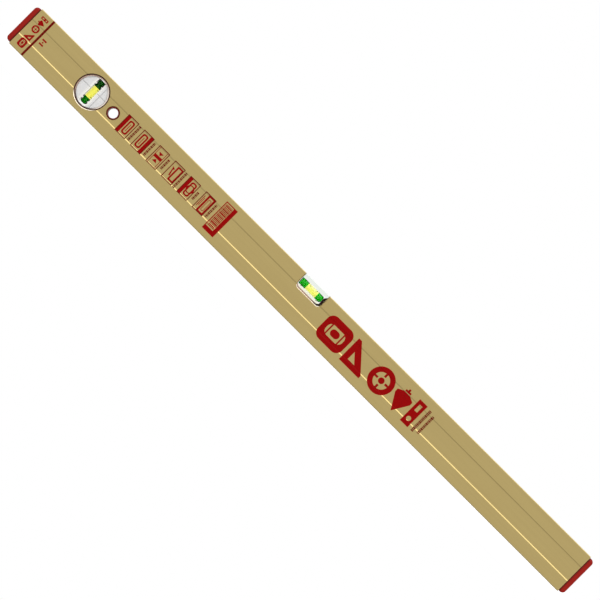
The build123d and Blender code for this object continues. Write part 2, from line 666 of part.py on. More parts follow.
def holder_half(side, label):
    """One half of the round holder: cup with a grooved face, vial slot, lugs and four snap fingers."""
    with BuildPart() as half:
        with BuildSketch(holder_plane(side, HOLDER_HALF_GAP)):
            Circle(HOLDER_R)
        extrude(amount=HOLDER_RIM_Y - HOLDER_HALF_GAP)
        # Raised face, cut back by a chord at each upper shoulder
        with BuildSketch(holder_plane(side, HOLDER_RIM_Y)):
            Circle(HOLDER_R - HOLDER_RIM)
            for angle in HOLDER_CHORD_ANGLES:
                with PolarLocations(HOLDER_CHORD + HOLDER_R / 2, 1, start_angle=angle):
                    Rectangle(HOLDER_R, 2 * HOLDER_R, mode=Mode.SUBTRACT)
        extrude(amount=HOLDER_FACE_Y - HOLDER_RIM_Y)
        # Fine grooves across the face
        with BuildSketch(holder_plane(side, HOLDER_FACE_Y)):
            with Locations((-side * GROOVE_X, 0)):
                Rectangle(GROOVE_WIDTH, 2 * HOLDER_R)
            with Locations((0, GROOVE_Z)):
                Rectangle(2 * HOLDER_R, GROOVE_WIDTH)
        extrude(amount=-GROOVE_DEPTH, mode=Mode.SUBTRACT)
        # Hollow from the parting plane, leaving a wall round the slot and a boss for each pin
        with BuildSketch(holder_plane(side, HOLDER_HALF_GAP)):
            Circle(HOLDER_R - HOLDER_WALL)
            add(slot_outline(side, HOLDER_WALL, HOLDER_R), mode=Mode.SUBTRACT)
            with Locations((-PIN_AT, 0), (PIN_AT, 0)):
                Circle(PIN_BOSS_R, mode=Mode.SUBTRACT)
        extrude(amount=HOLDER_RIM_Y - HOLDER_PLATE, mode=Mode.SUBTRACT)
        with BuildSketch(holder_plane(side)):
            add(slot_outline(side, 0.0, HOLDER_R - HOLDER_RIM))
        extrude(amount=DEPTH, mode=Mode.SUBTRACT)
        # Lugs that grip the collars from both sides
        with BuildSketch(holder_plane(side, HOLDER_HALF_GAP)):
            with Locations((-side * SLOT_OFFSET_X, PLUMB_Z - MID_Z)):
                with GridLocations(0, 2 * LUG_AT, 1, 2):
                    Rectangle(SLOT_WIDTH + HOLDER_WALL, LUG_THICKNESS)
        extrude(amount=LUG_DEPTH)
        with BuildSketch(Plane.XY.offset(PLUMB_Z - ROUND_END)):
            with Locations((PLUMB_X, 0)):
                Circle(VIAL_R)
        extrude(amount=ROUND_END - PLUG_END, mode=Mode.SUBTRACT)
        # Snap fingers that catch behind the side wall
        with BuildSketch(holder_plane(side, FINGER_LOW_Y)):
            arm_inner, arm_outer = HOLDER_R - HOLDER_WALL / 2, WINDOW_R + HOLDER_HALF_GAP + FINGER_WALL
            with PolarLocations((arm_inner + arm_outer) / 2, 4, start_angle=45):
                Rectangle(arm_outer - arm_inner, FINGER_WIDTH)
        extrude(amount=FINGER_HIGH_Y - FINGER_LOW_Y)
        with BuildSketch(holder_plane(side, FINGER_HIGH_Y)):
            with PolarLocations(WINDOW_R + FINGER_WALL / 2 + HOLDER_HALF_GAP, 4, start_angle=45):
                Rectangle(FINGER_WALL, FINGER_WIDTH)
        extrude(amount=FINGER_TIP_Y - FINGER_HIGH_Y)
        # Pins on the front half enter sockets in the back half
        if side < 0:
            with BuildSketch(holder_plane(side, -PIN_LENGTH)):
                with Locations((-PIN_AT, 0), (PIN_AT, 0)):
                    Circle(PIN_R)
            extrude(amount=PIN_LENGTH + HOLDER_WALL)
        else:
            with BuildSketch(holder_plane(side)):
                with Locations((-PIN_AT, 0), (PIN_AT, 0)):
                    Circle(PIN_R + PIN_GAP)
            extrude(amount=PIN_LENGTH + 2 * PIN_GAP, mode=Mode.SUBTRACT)
    save(half.part, label)


holder_half(-1, "plumb_holder_front")
holder_half(1, "plumb_holder_back")


def dark_ring(side, label):
    """A ring pressed in round one face of the holder; it rests on the snap fingers."""
    ring_inner_y = FINGER_HIGH_Y + RING_GAP
    with BuildPart() as ring:
        with BuildSketch(holder_plane(side, ring_inner_y)):
            Circle(WINDOW_R - RING_GAP)
            Circle(HOLDER_R + RING_GAP, mode=Mode.SUBTRACT)
        extrude(amount=RING_OUTER_Y - ring_inner_y)
        chamfer(ring.edges().filter_by(GeomType.CIRCLE), RING_EDGE)
    save(ring.part, label)


dark_ring(-1, "plumb_ring_front")
dark_ring(1, "plumb_ring_back")

with BuildPart() as glue:
    # A bead each side of each collar, between the vial and the wall of the slot
    bead_z = LUG_AT - LUG_THICKNESS
    with BuildSketch(Plane.XZ.offset(-GLUE_WIDTH / 2)):
        with Locations((PLUMB_X, PLUMB_Z)):
            with GridLocations(0, 2 * bead_z, 1, 2):
                Rectangle(SLOT_WIDTH, LUG_THICKNESS)
    extrude(amount=GLUE_WIDTH)
    with BuildSketch(Plane.XY.offset(PLUMB_Z - ROUND_END)):
        with Locations((PLUMB_X, 0)):
            Circle(VIAL_R)
    extrude(amount=ROUND_END - PLUG_END, mode=Mode.SUBTRACT)
save(glue.part, "plumb_glue")
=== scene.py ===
import math
from itertools import cycle

import bmesh
import bpy
from mathutils import Matrix, Vector
from mathutils.geometry import tessellate_polygon


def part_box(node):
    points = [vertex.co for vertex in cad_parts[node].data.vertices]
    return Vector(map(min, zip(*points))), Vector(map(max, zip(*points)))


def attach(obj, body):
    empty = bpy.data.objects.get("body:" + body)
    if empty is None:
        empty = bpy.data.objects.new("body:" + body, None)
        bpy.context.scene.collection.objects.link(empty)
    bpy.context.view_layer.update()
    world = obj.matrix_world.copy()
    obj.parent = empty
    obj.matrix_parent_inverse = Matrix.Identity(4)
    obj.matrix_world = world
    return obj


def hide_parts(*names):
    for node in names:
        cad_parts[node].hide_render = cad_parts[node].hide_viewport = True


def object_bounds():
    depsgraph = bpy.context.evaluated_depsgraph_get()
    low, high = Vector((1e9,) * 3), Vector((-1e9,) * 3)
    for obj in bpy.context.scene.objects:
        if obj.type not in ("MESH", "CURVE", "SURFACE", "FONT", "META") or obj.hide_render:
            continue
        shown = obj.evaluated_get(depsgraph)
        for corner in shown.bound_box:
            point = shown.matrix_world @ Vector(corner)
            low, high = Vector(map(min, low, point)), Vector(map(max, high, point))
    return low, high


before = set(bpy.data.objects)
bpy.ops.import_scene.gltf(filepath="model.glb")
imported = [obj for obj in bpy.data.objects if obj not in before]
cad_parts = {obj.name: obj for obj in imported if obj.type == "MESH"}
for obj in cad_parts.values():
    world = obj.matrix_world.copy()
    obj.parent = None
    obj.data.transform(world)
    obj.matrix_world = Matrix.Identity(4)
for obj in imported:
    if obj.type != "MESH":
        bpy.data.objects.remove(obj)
cad_low, cad_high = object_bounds()

# Lengths below are millimetres, as in the CAD, unless a name or a comment says otherwise.
MM = 0.001
BODY = "level_body"
# Clear parts that touch run this far into each other, so that light passes as if they were joined
OVERLAP = 0.02


def box_mm(name):
    """Lowest and highest corner of a CAD node in millimetres."""
    low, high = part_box(name)
    return low / MM, high / MM


def middle(name):
    """Middle of a CAD node's box in millimetres."""
    low, high = box_mm(name)
    return (low + high) / 2


# ---------------------------------------------------------------- shader nodes
NOISE_RANGE = (0.3, 0.7)  # nearly all of a noise lies between these


def new_material(name, **values):
    """A node material; values are set on the sockets of its Principled shader."""
    material = bpy.data.materials.new(name)
    material.use_nodes = True
    shader = material.node_tree.nodes["Principled BSDF"]
    for key, value in values.items():
        shader.inputs[key.replace("_", " ")].default_value = value
    return material, shader


def node(owner, kind, inputs=None, **settings):
    """Adds a shader node to a material or world; an input that is a socket is linked, any other is set."""
    made = owner.node_tree.nodes.new("ShaderNode" + kind)
    for key, value in settings.items():
        setattr(made, key, value)
    for key, value in (inputs or {}).items():
        if isinstance(value, bpy.types.NodeSocket):
            link(owner, value, made.inputs[key])
        else:
            made.inputs[key].default_value = value
    return made


def link(owner, output, socket):
    owner.node_tree.links.new(output, socket)


def rgba(colour):
    return (*colour, 1.0)


def own_place(material):
    """The object's own coordinates, in metres."""
    return node(material, "TexCoord").outputs["Object"]


def noise(material, scale, detail=3.0, roughness=0.5):
    """Noise over the object's own coordinates; scale is waves per metre on each axis."""
    inputs = {"Vector": own_place(material), "Scale": scale}
    stretched = node(material, "Mapping", inputs).outputs["Vector"]
    inputs = {"Vector": stretched, "Scale": 1.0, "Detail": detail, "Roughness": roughness}
    return node(material, "TexNoise", inputs).outputs["Fac"]


def ramp(material, factor, first, second, ends=NOISE_RANGE):
    """A colour that runs from the first to the second as the factor goes from end to end."""
    made = node(material, "ValToRGB", {"Fac": factor})
    for element, position, colour in zip(made.color_ramp.elements, ends, (first, second)):
        element.position = position
        element.color = rgba(colour)
    return made.outputs["Color"]


def spread(material, factor, low, high):
    """Maps the middle of a noise to a range of values."""
    start, end = NOISE_RANGE
    inputs = {"Value": factor, "From Min": start, "From Max": end, "To Min": low, "To Max": high}
    return node(material, "MapRange", inputs).outputs["Result"]


def bump(material, height, depth_mm, normal=None):
    """A bump of the given depth, on top of another bump if its normal is given."""
    inputs = {"Height": height, "Distance": depth_mm * MM}
    if normal is not None:
        inputs["Normal"] = normal
    return node(material, "Bump", inputs).outputs["Normal"]


def shade(colour, factor):
    return tuple(value * factor for value in colour)


def mixed(material, factor, colour, other):
    inputs = {"Fac": factor, "Color1": colour, "Color2": other}
    return node(material, "MixRGB", inputs).outputs["Color"]


# ---------------------------------------------------------------- masks by place on the part
def axis_of(material, axis):
    """The object's own coordinate along X, Y or Z, in metres."""
    return node(material, "SeparateXYZ", {"Vector": own_place(material)}).outputs[axis]


def absolute(material, value):
    return node(material, "Math", {0: value}, operation="ABSOLUTE").outputs[0]


def both(material, first, second):
    return node(material, "Math", {0: first, 1: second}, operation="MULTIPLY").outputs[0]


def fade(material, value, zero_mm, one_mm):
    """0 at one length and 1 at another, with a straight run between them."""
    inputs = {"Value": value, "From Min": zero_mm * MM, "From Max": one_mm * MM}
    return node(material, "MapRange", inputs).outputs["Result"]


def between(material, value, low_mm, high_mm, soft_mm=0.1):
    """1 between two lengths and 0 outside them."""
    rise = fade(material, value, low_mm - soft_mm, low_mm)
    return both(material, rise, fade(material, value, high_mm + soft_mm, high_mm))


WINDOW = middle("plumb_ring_front")  # the round opening for the plumb vial
WINDOW_EDGE = (17.75, 19.1)  # radii of the milled edge round the window
WINDOW_LIT_DROP = (10.0, 14.0)  # its painted shade turns to a painted highlight between these depths below the axis
WINDOW_LIT_R = (18.0, 18.4)  # and between these radii
NOTCH_EDGE_X = (-20.0, 22.0)  # where the milled edge runs under the notch, painted with a highlight
NOTCH_EDGE_Z = (30.85, 33.2)
TILT_SHARES = (0.95, 0.9)  # a surface turns into a tilted one as its normal along Y falls between these
SLOT_WALL_HALF = 4.7  # half the width of the plumb vial's slot
SLOT_PAINTED_LIGHT_HALF = 6.5  # half the width of the strip of painted light along it
SLOT_PAINTED_LIGHT_SOFT = 0.4  # width over which that strip fades at each side
PROFILE_HIGH = box_mm("profile")[1]
CAP_SHADE_FROM = 1.9  # distances from the profile's end between which painted shade darkens the caps
CAP_SHADE_TO = 0.8
RING_LIGHT_RIGHT = (4.0, 14.0)  # painted light turns the ring lighter between these distances right of the axis
RING_SHADE_LOW = (8.0, 13.0)  # and painted shade turns it dark between these depths below it
RESIN_SHADE_FADE = (14.0, 8.0)  # the resin's painted shade gives way to a lighter colour between these places along the level


def from_window(material):
    """Distance from the axis of the window, in metres."""
    inputs = {0: own_place(material), 1: (1.0, 0.0, 1.0)}
    flat = node(material, "VectorMath", inputs, operation="MULTIPLY").outputs["Vector"]
    centre = (WINDOW.x * MM, 0.0, WINDOW.z * MM)
    return node(material, "VectorMath", {0: flat, 1: centre}, operation="DISTANCE").outputs["Value"]


def tilted(material):
    """1 on surfaces that lean away from the front and the back."""
    normal = node(material, "NewGeometry").outputs["True Normal"]
    across = node(material, "SeparateXYZ", {"Vector": normal}).outputs["Y"]
    none, full = TILT_SHARES
    inputs = {"Value": absolute(material, across), "From Min": none, "From Max": full}
    return node(material, "MapRange", inputs).outputs["Result"]


def window_edge(material):
    """1 on the milled edge round the window, which is painted with shade and, low down, a highlight."""
    return both(material, tilted(material), between(material, from_window(material), *WINDOW_EDGE))


def window_edge_lit(material):
    """1 low down on that edge, where a highlight is painted in place of the light it would catch."""
    high, low = (WINDOW.z - drop for drop in WINDOW_LIT_DROP)
    below = fade(material, axis_of(material, "Z"), high, low)
    return both(material, below, fade(material, from_window(material), *WINDOW_LIT_R))


def notch_edge(material):
    """1 on the milled edge under the notch, where a highlight is painted."""
    across = between(material, axis_of(material, "X"), *NOTCH_EDGE_X)
    along = between(material, axis_of(material, "Z"), *NOTCH_EDGE_Z)
    return both(material, tilted(material), both(material, across, along))


def beside_slot_painted_light(material):
    """1 beside and inside the upright slot of the plumb vial, where light is painted on the holder."""
    left, right = WINDOW.x - SLOT_PAINTED_LIGHT_HALF, WINDOW.x + SLOT_PAINTED_LIGHT_HALF
    return between(material, axis_of(material, "X"), left, right, SLOT_PAINTED_LIGHT_SOFT)


def slot_wall_painted_light(material):
    """1 on the walls of that slot, which are painted brighter in place of light."""
    return between(material, axis_of(material, "X"), WINDOW.x - SLOT_WALL_HALF, WINDOW.x + SLOT_WALL_HALF)


def cap_joint_shade(material):
    """1 on the end caps close to the profile, where shade at the joint is painted."""
    along = absolute(material, axis_of(material, "X"))
    return fade(material, along, PROFILE_HIGH.x + CAP_SHADE_FROM, PROFILE_HIGH.x + CAP_SHADE_TO)


def ring_painted_light(material):
    """1 on the ring's side towards the hanging hole, where light is painted."""
    near, far = (WINDOW.x + distance for distance in RING_LIGHT_RIGHT)
    return fade(material, axis_of(material, "X"), near, far)


def ring_painted_shade(material):
    """1 on the lowest part of the ring, where shade is painted."""
    high, low = (WINDOW.z - drop for drop in RING_SHADE_LOW)
    return fade(material, axis_of(material, "Z"), high, low)


def resin_shade_fade(material):
    """1 under the pad of the level vial, where the resin's painted shade turns lighter."""
    return fade(material, axis_of(material, "X"), *RESIN_SHADE_FADE)


# ---------------------------------------------------------------- materials
def plastic(
    name, colour, roughness=(0.34, 0.48), grain_mm=0.35, depth_mm=0.004, mottle=0.06, places=(), **values
):
    """Moulded plastic: faint mottling, fine grain, uneven gloss; places are (mask, the colour put there),
    some of which are painted light or shade.
    """
    material, shader = new_material(name, **values)
    cloudy = noise(material, (90, 90, 90), 4.0)
    base = ramp(material, cloudy, shade(colour, 1 - mottle), shade(colour, 1 + mottle))
    for mask, other in places:
        base = mixed(material, mask(material), base, rgba(other))
    link(material, base, shader.inputs["Base Color"])
    fine = 1 / (grain_mm * MM)
    grain = noise(material, (fine, fine, fine), 2.0)
    link(material, spread(material, grain, *roughness), shader.inputs["Roughness"])
    link(material, bump(material, grain, depth_mm), shader.inputs["Normal"])
    return material


def clear(name, colour=(1.0, 1.0, 1.0), absorb=None, ior=1.49, roughness=(0.0, 0.03), **values):
    """Clear plastic or liquid; absorb is the light lost per metre in red, green and blue."""
    material, shader = new_material(name, Transmission_Weight=1.0, IOR=ior, **values)
    shader.inputs["Base Color"].default_value = rgba(colour)
    haze = noise(material, (400, 400, 400), 3.0)
    link(material, spread(material, haze, *roughness), shader.inputs["Roughness"])
    if absorb is not None:
        most = max(absorb)
        tint = tuple(1 - loss / most for loss in absorb)
        volume = node(material, "VolumeAbsorption", {"Color": rgba(tint), "Density": most})
        output = material.node_tree.nodes["Material Output"]
        link(material, volume.outputs["Volume"], output.inputs["Volume"])
    return material


GOLD = (0.59, 0.455, 0.175)
GOLD_DEEP = (0.55, 0.415, 0.155)
# Painted shade and painted highlight for the milled edges round the window and under the notch
EDGE_PAINTED_SHADE = (0.07, 0.02, 0.008)
EDGE_PAINTED_HIGHLIGHT = (1.0, 0.9, 0.72)
CLOUDY_SHARE = 0.35  # share of the cloudy noise in the colour of the gold, against its extrusion lines


def gold_anodised():
    """Satin gold anodising with fine extrusion lines along the level, with painted shade and highlights on
    the milled edges of the window and the notch.
    """
    values = {"Metallic": 1.0, "Coat_Weight": 0.35, "Coat_Roughness": 0.3, "Coat_IOR": 1.6}
    material, shader = new_material("gold_anodised", **values)
    lines = noise(material, (5, 900, 900), 5.0, 0.6)
    cloudy = noise(material, (14, 60, 60), 3.0)
    inputs = {"Factor": CLOUDY_SHARE, "A": lines, "B": cloudy}
    blend = node(material, "Mix", inputs, data_type="FLOAT").outputs["Result"]
    gold = ramp(material, blend, GOLD_DEEP, GOLD)
    # Painted shade on the window's milled edge, turning to a painted highlight low down
    edge = mixed(material, window_edge_lit(material), rgba(EDGE_PAINTED_SHADE), rgba(EDGE_PAINTED_HIGHLIGHT))
    gold = mixed(material, window_edge(material), gold, edge)
    # A painted highlight on the milled edge under the notch
    gold = mixed(material, notch_edge(material), gold, rgba(EDGE_PAINTED_HIGHLIGHT))
    link(material, gold, shader.inputs["Base Color"])
    link(material, spread(material, lines, 0.34, 0.46), shader.inputs["Roughness"])
    blast = noise(material, (2600, 2600, 2600), 2.0)
    fine = bump(material, blast, 0.0012)
    link(material, bump(material, lines, 0.0022, normal=fine), shader.inputs["Normal"])
    return material


def ink(name, thin, full):
    """Screen-printed ink, slightly uneven between two reds."""
    material, shader = new_material(name, Specular_IOR_Level=0.05)
    cover = noise(material, (700, 700, 700), 4.0, 0.6)
    link(material, ramp(material, cover, thin, full, (0.25, 0.75)), shader.inputs["Base Color"])
    link(material, spread(material, cover, 0.42, 0.6), shader.inputs["Roughness"])
    link(material, bump(material, cover, 0.002), shader.inputs["Normal"])
    return material


GREEN_SKIN = (0.6, 0.92, 0.6)
GREEN_IOR = 1.22
LIQUID_IOR = 1.36
materials = {
    "gold": gold_anodised(),
    "red_ink": ink("red_ink", (0.205, 0.0, 0.0), (0.265, 0.0, 0.0)),
    "dark_ink": ink("dark_ink", (0.10, 0.001, 0.0), (0.14, 0.002, 0.0)),
    "cap_red": plastic(
        "cap_red",
        (0.25, 0.005, 0.001),
        grain_mm=0.4,
        depth_mm=0.012,
        # Painted shade on the caps next to the joint with the profile
        places=((cap_joint_shade, (0.13, 0.002, 0.0)),),
        Specular_IOR_Level=0.15,
    ),
    "bush_red": plastic("bush_red", (0.125, 0.006, 0.002), (0.3, 0.42), Specular_IOR_Level=0.2),
    "holder_grey": plastic(
        "holder_grey",
        (0.60, 0.60, 0.60),
        (0.4, 0.55),
        depth_mm=0.005,
        mottle=0.02,
        # Painted light on the holder beside the slot and, brighter, on the slot's walls
        places=((beside_slot_painted_light, (0.68, 0.67, 0.64)), (slot_wall_painted_light, (0.96, 0.95, 0.92))),
    ),
    "carrier_white": plastic("carrier_white", (0.725, 0.715, 0.58), (0.35, 0.5), mottle=0.015),
    # Resin in the gap round the level vial's carrier; its near-black colour is painted shade of that gap,
    # lighter under the pad
    "potting": plastic(
        "potting",
        (0.016, 0.004, 0.001),
        (0.35, 0.55),
        grain_mm=1.2,
        depth_mm=0.03,
        places=((resin_shade_fade, (0.42, 0.27, 0.22)),),
        Specular_IOR_Level=0.15,
    ),
    "mark_black": plastic("mark_black", (0.012, 0.014, 0.008), (0.4, 0.55)),
    "vial_acrylic": clear("vial_acrylic", absorb=(3.0, 4.0, 130.0), Specular_IOR_Level=0.3),
    "cover_acrylic": clear("cover_acrylic", absorb=(10.0, 7.5, 11.0), ior=1.17, roughness=(0.0, 0.05)),
    "glue": clear("glue", (0.97, 0.97, 0.94), roughness=(0.12, 0.3)),
    "green": clear("green", GREEN_SKIN, (3000.0, 450.0, 2700.0), GREEN_IOR),
    # Shaded copies of the green for the plumb vial's collars, which sit in the window's shade: painted
    # shade
    "green_painted_shade": clear("green_painted_shade", GREEN_SKIN, (3300.0, 980.0, 2900.0), GREEN_IOR),
    "green_painted_deep_shade": clear("green_painted_deep_shade", GREEN_SKIN, (3500.0, 1560.0, 3200.0), GREEN_IOR),
    "ring_brown": plastic(
        "ring_brown",
        (0.42, 0.28, 0.22),
        (0.3, 0.42),
        # Painted light on the ring's right side and painted shade low down
        places=((ring_painted_light, (0.80, 0.70, 0.62)), (ring_painted_shade, (0.05, 0.015, 0.01))),
        Specular_IOR_Level=0.15,
    ),
    "liquid": clear("liquid", absorb=(12.0, 20.0, 430.0), ior=LIQUID_IOR),
    "pale_liquid": clear("pale_liquid", absorb=(8.0, 6.0, 320.0), ior=LIQUID_IOR),
    "air": clear("air", ior=1 / LIQUID_IOR),
}

# CAD nodes that stay, and the material each gets in place of its packed one
CAD_MATERIALS = {
    "profile": "gold",
    "end_cap_left": "cap_red",
    "end_cap_right": "cap_red",
    "hanging_hole_bush": "bush_red",
    "level_carrier": "carrier_white",
    "level_cover": "cover_acrylic",
    "level_potting": "potting",
    "plumb_holder_front": "holder_grey",
    "plumb_holder_back": "holder_grey",
    "plumb_glue": "glue",
    "plumb_ring_front": "ring_brown",
    "plumb_ring_back": "ring_brown",
}
for cad_node, material_name in CAD_MATERIALS.items():
    cad_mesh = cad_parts[cad_node].data
    cad_mesh.materials.clear()
    cad_mesh.materials.append(materials[material_name])


# ---------------------------------------------------------------- making pieces
def finish_piece(name, mesh, material, body, replaced=(), smooth_deg=35.0):
    """Links a piece, shades it smooth up to an angle, parents it to its CAD body and hides the CAD nodes
    it replaces.
    """
    mesh.materials.append(materials[material])
    mesh.shade_smooth()
    mesh.set_sharp_from_angle(angle=math.radians(smooth_deg))
    piece = bpy.data.objects.new(name, mesh)
    bpy.context.scene.collection.objects.link(piece)
    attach(piece, body)
    if replaced:
        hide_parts(*replaced)


def mesh_from(name, points_mm, faces):
    """A mesh from points in millimetres, with its faces turned outward."""
    mesh = bpy.data.meshes.new(name)
    mesh.from_pydata([Vector(point) * MM for point in points_mm], [], faces)
    built = bmesh.new()
    built.from_mesh(mesh)
    bmesh.ops.recalc_face_normals(built, faces=built.faces[:])
    built.to_mesh(mesh)
    built.free()
    return mesh


def arc(centre, radius, start_deg, end_deg, steps=10):
    """Points on a circular arc, from one angle to another."""
    turns = [math.radians(start_deg + (end_deg - start_deg) * i / steps) for i in range(steps + 1)]
    return [(centre[0] + radius * math.cos(turn), centre[1] + radius * math.sin(turn)) for turn in turns]


# ---------------------------------------------------------------- vials
# Both vials are alike. Places along a vial count from the middle of its bore, below 0 towards the plug.
VIAL_R = 4.1
NECK_R = 3.3  # of the tube, under the collars
SEAT_R = 2.9  # of the seat for the plug
BARREL_R = 2.7  # of the bore, at its middle
BARREL_CURVE_R = 229.0
BARREL_HALF = 11.5
PLUG_END = -15.75
ROUND_END = 14.35
COLLAR_WALL = 0.8
COLLAR_ROUND = 2.6
CLEAR_HALF = 6.85  # half the length between the collars
EDGE = 0.3  # bevel of the plug and rounding of the collar over it
MARK_AT = 4.8
MARK_HALF = 0.225
MARK_INNER_R = 3.8  # a mark is sunk in the wall of the tube down to this radius
MARK_SWEEP_DEG = 120.0
TURNS = 96


class Vial:
    """Where a vial lies: its middle, its direction from plug to round end, and its reading side."""

    def __init__(self, prefix, along, up):
        self.prefix = prefix
        self.along = Vector(along)
        self.up = Vector(up)
        self.side = self.along.cross(self.up)
        low, high = box_mm(f"{prefix}_vial_tube")
        centre = (low + high) / 2
        plug_face = [low[i] if self.along[i] > 0 else high[i] for i in range(3)]
        start = [centre[i] if self.along[i] == 0 else plug_face[i] for i in range(3)]
        self.origin = Vector(start) - self.along * (PLUG_END + COLLAR_WALL)

    def at(self, along, up, side=0.0):
        return self.origin + self.along * along + self.up * up + self.side * side


def barrel_r(along):
    """Radius of the barrel-shaped bore at a distance from its middle."""
    return BARREL_R - (BARREL_CURVE_R - math.sqrt(BARREL_CURVE_R**2 - along**2))


def barrel(first, last, grow=0.0):
    """The line of the bore from one place to another, or that line a little larger."""
    steps = 24
    places = [first + (last - first) * i / steps for i in range(steps + 1)]
    return [(place, barrel_r(place) + grow) for place in places]


def lathe(name, vial, outline, sweep_deg=360.0, turns=TURNS):
    """A closed body turned from an outline of (along, radius) points; a radius of 0 lies on the axis."""
    full = sweep_deg >= 360.0
    rings = turns if full else turns + 1
    start = -math.radians(sweep_deg) / 2
    points, rows = [], []
    for along, radius in outline:
        if radius == 0:
            points.append(vial.at(along, 0.0))
            rows.append([len(points) - 1] * rings)
            continue
        row = []
        for i in range(rings):
            turn = start + math.radians(sweep_deg) * i / turns
            points.append(vial.at(along, radius * math.cos(turn), radius * math.sin(turn)))
            row.append(len(points) - 1)
        rows.append(row)
    faces = []
    for row, following in zip(rows, rows[1:] + rows[:1]):
        if row[0] == row[-1] and following[0] == following[-1]:
            continue
        for i in range(rings if full else rings - 1):
            j = (i + 1) % rings
            corners = [row[i], row[j], following[j], following[i]]
            faces.append(list(dict.fromkeys(corners)))
    if not full:
        faces.append([row[0] for row in rows])
        faces.append([row[-1] for row in rows])
    return mesh_from(name, points, faces)


def tube_outline():
    plug_face = PLUG_END + COLLAR_WALL
    round_face = ROUND_END - COLLAR_WALL
    inner_round = COLLAR_ROUND - COLLAR_WALL
    return [
        (plug_face, SEAT_R),
        (plug_face, NECK_R),
        (-CLEAR_HALF, NECK_R),
        (-CLEAR_HALF, VIAL_R),
        (CLEAR_HALF, VIAL_R),
        (CLEAR_HALF, NECK_R),
        *arc((round_face - inner_round, NECK_R - inner_round), inner_round, 90, 0),
        (round_face, 0.0),
        (BARREL_HALF, 0.0),
        *barrel(BARREL_HALF, -BARREL_HALF),
        (-BARREL_HALF, SEAT_R),
    ]


def plug_outline():
    face = PLUG_END + COLLAR_WALL - OVERLAP
    far = -BARREL_HALF
    radius = SEAT_R + OVERLAP
    return [(face, 0.0), (face, radius), (far - EDGE, radius), (far, radius - EDGE), (far, 0.0)]


def plug_collar_outline():
    inner_face = PLUG_END + COLLAR_WALL + OVERLAP
    rim = -CLEAR_HALF + OVERLAP
    return [
        (PLUG_END, 0.0),
        *arc((PLUG_END + EDGE, VIAL_R - EDGE), EDGE, 180, 90, 5),
        (rim, VIAL_R),
        (rim, NECK_R - OVERLAP),
        (inner_face, NECK_R - OVERLAP),
        (inner_face, 0.0),
    ]


def round_collar_outline():
    inner_face = ROUND_END - COLLAR_WALL - OVERLAP
    inner_round = COLLAR_ROUND - COLLAR_WALL
    inner_r = NECK_R - OVERLAP
    rim = CLEAR_HALF - OVERLAP
    return [
        (rim, inner_r),
        (rim, VIAL_R),
        *arc((ROUND_END - COLLAR_ROUND, VIAL_R - COLLAR_ROUND), COLLAR_ROUND, 90, 0, 14),
        (ROUND_END, 0.0),
        (inner_face, 0.0),
        *arc((inner_face - inner_round, inner_r - inner_round), inner_round, 0, 90),
    ]


def liquid_outline():
    end = BARREL_HALF + OVERLAP
    return [(-end, 0.0), *barrel(-end, end, OVERLAP), (end, 0.0)]


def mark_outline(at):
    outer = VIAL_R + OVERLAP
    left, right = at - MARK_HALF, at + MARK_HALF
    return [(left, MARK_INNER_R), (left, outer), (right, outer), (right, MARK_INNER_R)]


LONG_BUBBLE = {"length": 8.8, "width": 4.0, "top_r": 2.25, "floor": 0.5, "end_lift": 0.15}
SHORT_BUBBLE = {"length": 3.0, "radius": 2.25, "dish": 0.35}
ROUNDNESS = 0.72  # below 1 squares a ball off towards a box


def squared_ball():
    """Vertices and faces of a ball squared off towards a box, from -1 to 1 on each axis."""
    ball = bmesh.new()
    bmesh.ops.create_uvsphere(ball, u_segments=48, v_segments=24, radius=1.0)
    points = []
    for vertex in ball.verts:
        points.append([math.copysign(abs(value) ** ROUNDNESS, value) for value in vertex.co])
    # Blender makes these faces in a different order each time, so they are sorted
    faces = sorted([vertex.index for vertex in face.verts] for face in ball.faces)
    ball.free()
    return points, faces


def long_bubble(vial, at):
    """A bubble that lies along the top of a level bore: round above, nearly flat below."""
    points, faces = squared_ball()
    placed = []
    for along, across, up in points:
        side = across * LONG_BUBBLE["width"] / 2
        top = math.sqrt(LONG_BUBBLE["top_r"] ** 2 - side**2)
        low = LONG_BUBBLE["floor"] + LONG_BUBBLE["end_lift"] * along * along
        height = low + (top - low) * (0.5 + 0.5 * up)
        placed.append(vial.at(at + along * LONG_BUBBLE["length"] / 2, height, side))
    return mesh_from(f"{vial.prefix}_bubble_air", placed, faces)


def short_bubble(vial, at):
    """A bubble at the top of an upright bore: domed above, dished below."""
    points, faces = squared_ball()
    placed = []
    for along, up, side in points:
        across = math.hypot(up, side)
        to_wall = SHORT_BUBBLE["radius"] / max(1.0, across)
        dish = SHORT_BUBBLE["dish"] * (1 - min(1.0, across) ** 2) if along > 0 else 0.0
        place = at + along * SHORT_BUBBLE["length"] / 2 - dish
        placed.append(vial.at(place, up * to_wall, side * to_wall))
    return mesh_from(f"{vial.prefix}_bubble_air", placed, faces)


